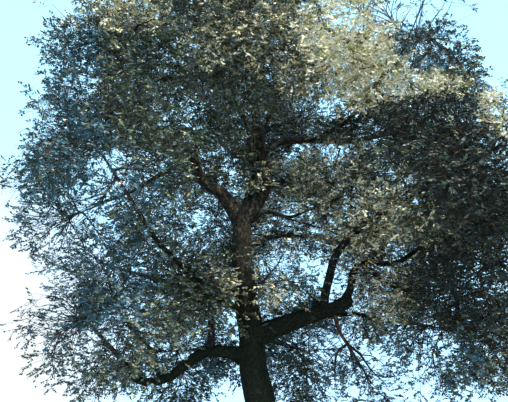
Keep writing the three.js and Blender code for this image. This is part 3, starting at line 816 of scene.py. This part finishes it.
def firstTwigs(index):  # the frame's own stem and twigs, with their radii
    stem, base, tip = stemOf(massNames[index])
    draw = seeded(twigPlan["firstSeed"] + index * twigPlan["seedStep"])
    count = round(twigPlan["perMass"] * fullness[index] * spreads[index] / twigPlan["usualSpread"])
    stemHeading = stem.heading(0.5)
    starts, ends = [], []
    for direction in evenDirections(count, draw() * 2 * math.pi):
        start = stem.at(mix(*twigPlan["from"], 0.5 + 0.5 * direction @ stemHeading))
        for _ in range(4):  # the frame's draws for the hand and the tilt of the twig's leaves
            draw()
        tried = hearts[index] + direction / squash * spreads[index] * twigPlan["reaches"][:, None]
        fits = np.flatnonzero(keepsToSpace(tried, index))
        if len(fits):
            starts.append(start)
            ends.append(tried[fits[0]])
    starts, ends = np.array(starts), np.array(ends)
    headings = unit(unit(ends - starts) + up * twigPlan["lift"])
    twigLines = bentLines(starts, ends, headings, twigPlan["bend"], stemPlan["rings"])
    radius = max(twigPlan["thinnest"], mix(base, tip, 0.5) * twigPlan["thickness"])
    share = np.linspace(0, 1, stemPlan["rings"])
    twigRadii = radius * mix(1, twigPlan["thinning"], share)[None].repeat(len(starts), 0)
    return stem.at(share)[None], mix(base, tip, share)[None], twigLines, twigRadii


branchletPlan = {
    "perCubicMetre": 4.2,
    "reach": 1.12,  # of the mass's spread, so that its swollen rim is filled
    "core": (-0.2, 0.4, 6.8),  # leaves thin out towards the middle of the crown, where little light falls
    "coreRadius": 3.2,
    "innerShare": 0.75,
    "innerEdges": (-0.7, 0.3),
    "keptMore": 3,  # times as surely as shoots, where the crown is thin
    "clear": 0.12,
    "back": 0.45,  # how far down the wood they start, as a share of the way to it
    "from": (0.12, 0.97),  # along the wood
    "headingStep": 0.1,
    "towardsEnd": 0.8,
    "wild": 0.15,
    "bend": 0.4,
    "rings": 4,
    "radii": (0.012, 0.005),
}
# Limbs that twigs and leaves hide: the mass that the twigs belong to, where on the limb they start
# and end, how many there are to a metre, and which way they lean, where they do
clothedLimbs = {
    "bough_rising": ("wing_front_right", 0.32, 0.9, 18),
    "bough_upper_front_right": ("upper_front_right", 0.1, 1, 10),
    "bough_upper_back_right": ("upper_back_right", 0.15, 1, 10),
    "bough_wing_front_left": ("wing_front_left", 0.08, 1, 15),
    "bough_heart_low": ("heart_low", 0.1, 1, 10),
    "bough_wing_left": ("wing_left", 0.15, 1, 10),
    "bough_wing_back_left": ("wing_back_left", 0.3, 1, 10),
    "bough_skirt_front_right": ("skirt_front_right", 0.05, 0.9, 18),
    "bough_skirt_right": ("skirt_right", 0.1, 0.75, 20, (0, -0.3, 0)),
    "bough_high_left": ("high_left", 0.1, 1, 10),
    "bough_high_right": ("high_right", 0.3, 1, 10),
    "bough_wing_back_right": ("wing_back_right", 0.04, 1, 12),
    "bough_skirt_back_left": ("skirt_back_left", 0.04, 0.7, 16, (0, 0, -0.5)),
    "bough_skirt_back_right": ("skirt_back_right", 0.1, 1, 10),
    "bough_wing_right": ("wing_right", 0.08, 0.3, 12, (0.3, -0.8, 0)),
    "bough_right_low": ("heart_front", 0.12, 0.7, 9, (0, 1, 1)),
    "leader": ("crown_top", 0.06, 0.34, 18, (-1.2, 0.8, 0)),
    "bough_upper_left": ("heart_left", 0.25, 0.6, 14, (1.2, 0.8, 0.4)),
    "trunk": ("heart_front", 0.49, 0.72, 6, (0.7, -0.7, 0.1)),
}
clothingPlan = {"reach": 0.5, "shortest": 0.6, "forward": 0.6}


def branchlets(index, lines, random):  # twigs from the nearest wood to places spread through the mass
    heart, spread = hearts[index], spreads[index]
    reach = spread * branchletPlan["reach"]
    volume = 4 / 3 * math.pi * reach**3 * spacePlan["flatness"]
    count = round(branchletPlan["perCubicMetre"] * volume * leafiness[index])
    ends = heart + evenPlaces(count, random) * reach / squash
    ends = ends[keepsToSpace(ends, index, rimAt(ends)) & inReach(ends)]
    ends = ends[clearOfLimbs(ends, branchletPlan["clear"])]
    fromCore = heart - np.array(branchletPlan["core"])
    outward = (ends - heart) @ unit(fromCore) / spread
    thin = branchletPlan["innerShare"] if np.linalg.norm(fromCore) > branchletPlan["coreRadius"] else 1
    share = mix(thin, 1, smoothstep(*branchletPlan["innerEdges"], outward))
    share = share * np.minimum(shareKept(ends) * branchletPlan["keptMore"], 1)
    ends = ends[random.random(len(ends)) < share]
    samples = lines.shape[1]
    away = np.linalg.norm(ends[:, None] - lines.reshape(-1, 3)[None], axis=-1)
    nearest = away.argmin(1)
    line, along = nearest // samples, nearest % samples / (samples - 1)
    lengths = np.linalg.norm(np.diff(lines, axis=1), axis=-1).sum(1)
    back = branchletPlan["back"] * away.min(1) / lengths[line]
    along = np.clip(along - back, *branchletPlan["from"])
    starts = pointOn(lines[line], along)
    step = branchletPlan["headingStep"]
    woodHeading = unit(pointOn(lines[line], np.minimum(along + step, 1)) - pointOn(lines[line], along - step))
    wild = random.normal(0, branchletPlan["wild"], starts.shape)
    headings = unit(woodHeading + unit(ends - starts) * branchletPlan["towardsEnd"] + wild)
    return bentLines(starts, ends, headings, branchletPlan["bend"], branchletPlan["rings"])


def clothingOf(name, random):  # branchlets that hide the limbs beside the mass
    lines = [np.zeros((0, branchletPlan["rings"], 3))]
    for limb, (mass, first, last, perMetre, *lean) in clothedLimbs.items():
        if mass == name:
            path = limbs[limb]["path"]
            share = random.uniform(first, last, round(perMetre * path.length * (last - first)))
            starts, along = path.at(share), path.heading(share)
            away = unit(np.cross(along, random.normal(0, 1, along.shape)))
            away = unit(away + np.sum(lean, axis=0))
            reach = clothingPlan["reach"] * random.uniform(clothingPlan["shortest"], 1, (len(share), 1))
            ends = starts + (away + along * clothingPlan["forward"]) * reach
            lines.append(bentLines(starts, ends, along, branchletPlan["bend"], branchletPlan["rings"]))
    return np.concatenate(lines)


shootPlan = {
    "perBranchlet": 9,
    "ballAt": 0.8,  # along the branchlet
    "reach": 0.42,
    "reachVaries": (0.65, 1.2),
    "from": (0.3, 0.98),
    "tipped": 0.6,  # radians either way
    "droop": 0.12,
    "wild": 0.2,
    "bend": 0.4,
    "rings": 3,
    "radii": (0.0048, 0.002),
    "judgedAt": 0.7,  # the place along a shoot that has to be in its mass
    "pastRim": 0.1,
    "overlap": 0.12,  # shoots of neighbours mingle this far
    "clear": 0.06,
}
sprayPlan = {
    "handsAt": ((0, 1.0), (1, 0.5), (-1, 0.8)),  # on from the shoot's end, and to either hand along it
    "length": 0.2,
    "lengthVaries": (0.8, 1.2),
    "radius": 0.0022,
    "sideways": 1.1,
    "roll": 0.4,
    "wild": 0.25,
    "droop": 0.12,
    "clear": 0.03,
}


def shoots(lines, random):  # finer twigs in a ball about the outer part of each branchlet
    count, tip = shootPlan["perBranchlet"], shootPlan["tipped"]
    directions = evenDirections(count, 0.0)
    turn = random.random(len(lines)) * 2 * math.pi
    cos, sin = np.cos(turn)[:, None], np.sin(turn)[:, None]
    tipped = random.random(len(lines)) * 2 * tip - tip
    tipCos, tipSin = np.cos(tipped)[:, None], np.sin(tipped)[:, None]
    x, y, z = directions.T[:, None]
    y, z = y * tipCos - z * tipSin, y * tipSin + z * tipCos
    x, y = x * cos - y * sin, x * sin + y * cos
    direction = np.stack([x, y, z], -1)
    reach = shootPlan["reach"] * random.uniform(*shootPlan["reachVaries"], (len(lines), count, 1))
    middle = pointOn(lines, shootPlan["ballAt"])
    ends = middle[:, None] + direction * reach / squash - up * shootPlan["droop"] * reach
    heading = unit(lines[:, -1] - lines[:, 0])[:, None]
    forward = 0.5 + 0.5 * (direction * heading).sum(-1)
    starts = pointOn(np.repeat(lines, count, axis=0), mix(*shootPlan["from"], forward.ravel()))
    ends = ends.reshape(-1, 3)
    wild = random.normal(0, shootPlan["wild"], ends.shape)
    headings = unit(np.repeat(heading[:, 0], count, axis=0) + unit(ends - starts) + wild)
    return bentLines(starts, ends, headings, shootPlan["bend"], shootPlan["rings"])


def sprays(lines, random):  # a spray on from the end of each shoot, and one on either hand
    starts, headings = [], []
    firstHand = np.where(random.random(len(lines)) < 0.5, -1.0, 1.0)[:, None]
    ahead = unit(lines[:, -1] - lines[:, 0])
    level = unit(np.cross(ahead, up + random.normal(0, sprayPlan["roll"], ahead.shape)))
    for hand, share in sprayPlan["handsAt"]:
        starts.append(pointOn(lines, share))
        heading = ahead + level * firstHand * hand * sprayPlan["sideways"]
        heading = heading + random.normal(0, sprayPlan["wild"], ahead.shape)
        headings.append(unit(heading - up * sprayPlan["droop"]))
    return np.stack(starts), np.stack(headings)


# Waxy evergreen leaves: a dull sheen over each leaf's green, with sunlight, sky light and shade painted into
# some of the colours below
leafPlan = {
    "perSpray": 9,
    "firstAt": 0.7,  # in steps from leaf to leaf
    "length": 0.072,  # a little longer than the longest real ones, so that fewer fill the crown
    "lengthVaries": 0.3,
    "halfWidth": 0.28,
    "widestAt": 0.45,
    "cup": 0.35,  # how far the edges curl down, as a share of the half width
    "tipDown": 0.05,
    "sideways": 1.2,
    "wild": 0.35,
    "tilt": 1.7,
    "lift": 0.25,
    "outward": 0.7,  # leaves turn their faces to the light outside their mass
    "ownColour": 0.4,  # the share of leaves that don't take their neighbour's colour
    "sheen": (0.5, 0.32),  # roughness and specular level
}
# Green, olive, fresh and bronze are the leaves' own colours. Straw and pale are painted sunlight and painted
# sheen on lit leaves. Grey is a grey-green made bluer as a painted reflection of the sky. Blue is painted
# shade lit by the sky. Deep is dark old leaves, darkened further as painted shade.
leafColours = {
    "deep": "#202c29",
    "green": "#415446",
    "grey": "#64757a",
    "blue": "#3a677c",
    "olive": "#6b724e",
    "paintedSunStraw": "#c4bb92",
    "pale": "#f3edd5",
    "fresh": "#93993f",
    "bronze": "#5f4a3c",
}
# What colours a spray may take, and how often. Besides the plain one, the palettes paint light and shade into
# the leaves: painted deep shade, painted shade lit blue by the sky, painted sunlight and painted warm half
# light, in that order
palettes = {
    "plain": {"deep": 4, "green": 6, "grey": 3.2, "olive": 2, "paintedSunStraw": 0.45, "bronze": 0.5},
    "shade": {"deep": 12, "green": 1, "grey": 0.3, "bronze": 0.5},
    "paintedBlueShade": {"blue": 8, "green": 1.5, "deep": 3, "grey": 2.5, "pale": 0.1},
    "lit": {"olive": 0.7, "paintedSunStraw": 3, "pale": 14, "fresh": 2.5, "deep": 0.5},
    "paintedWarmLight": {"olive": 2.5, "paintedSunStraw": 4.5, "grey": 3, "green": 1, "pale": 5, "bronze": 0.8, "deep": 2},
}
# Where sprays take another palette, in centimetres on the plane of the trunk as above, and how
# surely, in per cent: the painted sunlight and painted shade of the crown as seen from in front
paletteSpots = [
    ("paintedWarmLight", 149, 694, 218, 171, 90), ("paintedWarmLight", -25, 529, 85, 144, 70), ("paintedWarmLight", -57, 1231, 174, 152, 50),
    ("paintedBlueShade", -578, 736, 162, 396, 80), ("paintedBlueShade", -398, 705, 140, 144, 60),
    ("paintedBlueShade", -458, 459, 177, 154, 80), ("paintedBlueShade", 70, 529, 70, 56, 80), ("paintedBlueShade", 134, 287, 217, 133, 80),
    ("paintedBlueShade", -152, 626, 77, 80, 50), ("paintedBlueShade", -160, 280, 71, 68, 70), ("shade", 530, 653, 175, 349, 100),
    ("shade", 367, 932, 191, 79, 90), ("shade", 290, 807, 69, 64, 60), ("shade", 385, 434, 88, 83, 80),
    ("lit", 253, 1183, 172, 203, 100), ("lit", 349, 1045, 201, 48, 100),
    ("paintedWarmLight", -473, 1287, 187, 78, 90), ("lit", 620, 951, 49, 80, 80), ("paintedBlueShade", 454, 1176, 97, 81, 90),
    ("shade", 476, 1170, 103, 54, 35), ("paintedBlueShade", -547, 1097, 73, 164, 80), ("paintedWarmLight", 259, 444, 83, 99, 90),
    ("paintedWarmLight", 184, 819, 64, 58, 70), ("paintedWarmLight", 8, 1266, 70, 70, 60), ("paintedWarmLight", -115, 514, 50, 56, 50),
    ("lit", 221, 1013, 122, 51, 60), ("paintedWarmLight", 89, 1038, 72, 77, 70), ("paintedWarmLight", -200, 1170, 69, 74, 40),
    ("paintedWarmLight", 350, 653, 87, 108, 50), ("paintedBlueShade", 359, 292, 146, 92, 60), ("paintedBlueShade", 21, 586, 76, 79, 40),
]
paletteDepth = (0.8, 2.8)  # behind the trunk's plane the palettes fade to the plain one


def leafPlaces(starts, headings, outward, random):  # the corners of every leaf of every spray
    count, each = len(starts), leafPlan["perSpray"]
    share = (np.arange(each) + leafPlan["firstAt"]) / each
    length = sprayPlan["length"] * random.uniform(*sprayPlan["lengthVaries"], (count, 1, 1))
    root = starts[:, None] + headings[:, None] * share[None, :, None] * length
    level = unit(np.cross(headings, up))[:, None]
    hand = np.where(np.arange(each) % 2, 1.0, -1.0)[None, :, None]
    tilt = random.random((count, each, 3)) - 0.5
    wild = random.normal(0, leafPlan["wild"], (count, each, 3))
    along = unit(headings[:, None] + level * hand * leafPlan["sideways"] + wild)
    normal = up + tilt * leafPlan["tilt"] + headings[:, None] * leafPlan["lift"]
    side = unit(np.cross(along, normal + outward[:, None] * leafPlan["outward"]))
    face = np.cross(side, along)
    size = leafPlan["length"] * (1 + leafPlan["lengthVaries"] * random.uniform(-1, 1, (count, each, 1)))
    tip = root + along * size - face * size * leafPlan["tipDown"]
    wide = leafPlan["halfWidth"] * size
    middle = root + along * size * leafPlan["widestAt"] - face * wide * leafPlan["cup"]
    return np.stack([root, tip, middle + side * wide, middle - side * wide], 2).reshape(-1, 3)


# Sprays in front take the palettes of painted light and shade; those at the back keep the plain one
def dealtPalettes(starts, random):  # which palette each spray draws from, plain at the back
    seen = onTrunkPlane(starts)
    front = 1 - smoothstep(*paletteDepth, starts[:, 1])
    chosen = np.zeros(len(starts), int)
    for name, *numbers in paletteSpots:
        *spot, sure = np.array(numbers) / 100
        taken = random.random(len(starts)) < front * sure * inSpot(seen, *spot)
        chosen[taken] = list(palettes).index(name)
    return chosen


def dealtColours(chosen, random):
    names = list(leafColours)
    drawn = np.zeros(len(chosen), int)
    for i, weights in enumerate(palettes.values()):
        share = np.array([weights.get(name, 0) for name in names], float)
        here = chosen == i
        drawn[here] = random.choice(len(names), here.sum(), p=share / share.sum())
    return drawn


def growLeaves(name, index, starts, headings, leaves, random):
    each = leafPlan["perSpray"]
    chosen = dealtPalettes(starts, random)
    leafColour = np.repeat(dealtColours(chosen, random), each)
    own = random.random(len(leafColour)) < leafPlan["ownColour"]
    leafColour[own] = dealtColours(np.repeat(chosen, each)[own], random)
    places = leafPlaces(starts, headings, unit(starts - hearts[index]), random)
    first = np.arange(len(leafColour))[:, None] * 4
    faces = [first + [0, 2, 1], first + [0, 1, 3]]
    mesh = meshFrom(f"leaves_{name}", places, faces, np.concatenate([leafColour, leafColour]))
    showPiece(f"leaves_{name}", mesh, leaves, "foliage", f"foliage_{name}")


def growMass(index, leaves, twigBark):
    name = massNames[index]
    random = np.random.default_rng(twigPlan["firstSeed"] + index)
    stemLine, stemRadii, twigLines, twigRadii = firstTwigs(index)
    small = branchlets(index, np.concatenate([stemLine, twigLines]), random)
    inMass = len(small) * shootPlan["perBranchlet"]
    small = np.concatenate([small, clothingOf(name, random)])
    fine = shoots(small, random)
    judged = pointOn(fine, shootPlan["judgedAt"])
    keep = keepsToSpace(judged, index, rimAt(judged) + shootPlan["pastRim"], shootPlan["overlap"])
    keep[inMass:] = True
    keep &= inReach(fine[:, -1]) & clearOfLimbs(judged, shootPlan["clear"])
    keep &= random.random(len(fine)) < np.sqrt(shareKept(judged))
    fine = fine[keep]
    starts, headings = sprays(fine, random)
    tips = starts + headings * (sprayPlan["length"] + leafPlan["length"] * 0.5)
    keep = np.stack([inReach(some) & clearOfLimbs(some, sprayPlan["clear"]) for some in tips])
    keep &= random.random(keep.shape) < np.sqrt([shareKept(some) for some in starts])
    growLeaves(name, index, starts[keep], headings[keep], leaves, random)
    last = starts[0] + headings[0] * sprayPlan["length"] * keep[0][:, None]
    fineLines = np.concatenate([fine[:, ::2], last[:, None]], axis=1)
    sideStarts, sideHeadings = starts[1:][keep[1:]], headings[1:][keep[1:]]
    sideLines = np.stack([sideStarts, sideStarts + sideHeadings * sprayPlan["length"]], 1)
    mesh = meshFrom(f"twigs_{name}", *joined([
        tubes(stemLine, stemRadii, stemPlan["sides"]),
        tubes(twigLines, twigRadii, twigPlan["sides"]),
        tubes(small, tapered(small, *branchletPlan["radii"])),
        tubes(fineLines, tapered(fineLines, *shootPlan["radii"])),
        tubes(sideLines, tapered(sideLines, sprayPlan["radius"], sprayPlan["radius"])),
    ]))
    showPiece(f"twigs_{name}", mesh, [twigBark], "bark", f"foliage_{name}")


def growFoliage():
    leaves = [plainMaterial(f"oakLeaf{name.capitalize()}", colour, *leafPlan["sheen"])
              for name, colour in leafColours.items()]
    # Thin bark of young shoots, nearly smooth
    twigBark = plainMaterial("youngOakBark", "#332c27", 0.8, 0.3)
    for index in range(len(massNames)):
        growMass(index, leaves, twigBark)


growFoliage()
print("foliage grown")


# Bare twigs that stand out against the sky: the node beside them, and places along each with its
# diameters
bareTwigs = {
    "bare_twigs": ("foliage_hanging", [
        ([(1.75, -0.22, 3.27), (1.5, -0.26, 3.08), (1.43, -0.28, 2.85), (1.4, -0.3, 2.4)], (0.075, 0.03)),
        ([(1.76, -0.22, 3.25), (1.82, -0.24, 3.01), (1.85, -0.26, 2.85), (1.88, -0.28, 2.55)], (0.06, 0.022)),
        ([(1.76, -0.22, 3.25), (2.03, -0.25, 3.01), (2.24, -0.28, 2.68), (2.56, -0.3, 2.36)], (0.065, 0.022)),
        ([(2.03, -0.25, 3.01), (2.3, -0.25, 2.98), (2.6, -0.28, 2.75)], (0.035, 0.014)),
        ([(1.5, -0.26, 3.08), (1.3, -0.3, 2.9), (1.2, -0.34, 2.6)], (0.035, 0.014)),
        ([(1.85, -0.26, 2.85), (2.0, -0.3, 2.7), (2.06, -0.32, 2.4)], (0.03, 0.012)),
    ]),
    "bare_limb": ("foliage_heart_right", [
        ([(0.1, 0.1, 6.6), (0.44, -0.2, 6.36), (1.66, -0.5, 5.85), (2.71, -0.5, 5.17)], (0.06, 0.015)),
        ([(1.77, -0.5, 8.19), (1.61, -0.5, 7.44), (1.85, -0.5, 7.16)], (0.04, 0.012)),
    ]),
}
barePlan = {"rings": 14, "sides": 7}


def growBareTwigs():
    # Bark that has dried on thin dead twigs: dark, with a little red
    driedBark = plainMaterial("driedOakBark", "#33231f", 0.85, 0.3)
    share = np.linspace(0, 1, barePlan["rings"])
    for name, (node, twigs) in bareTwigs.items():
        parts = [tubes(throughPlaces(places).at(share)[None], mix(*girth, share)[None] / 2, barePlan["sides"])
                 for places, girth in twigs]
        showPiece(name, meshFrom(name, *joined(parts)), [driedBark], "bark", node)


growBareTwigs()
print("bare twigs grown")
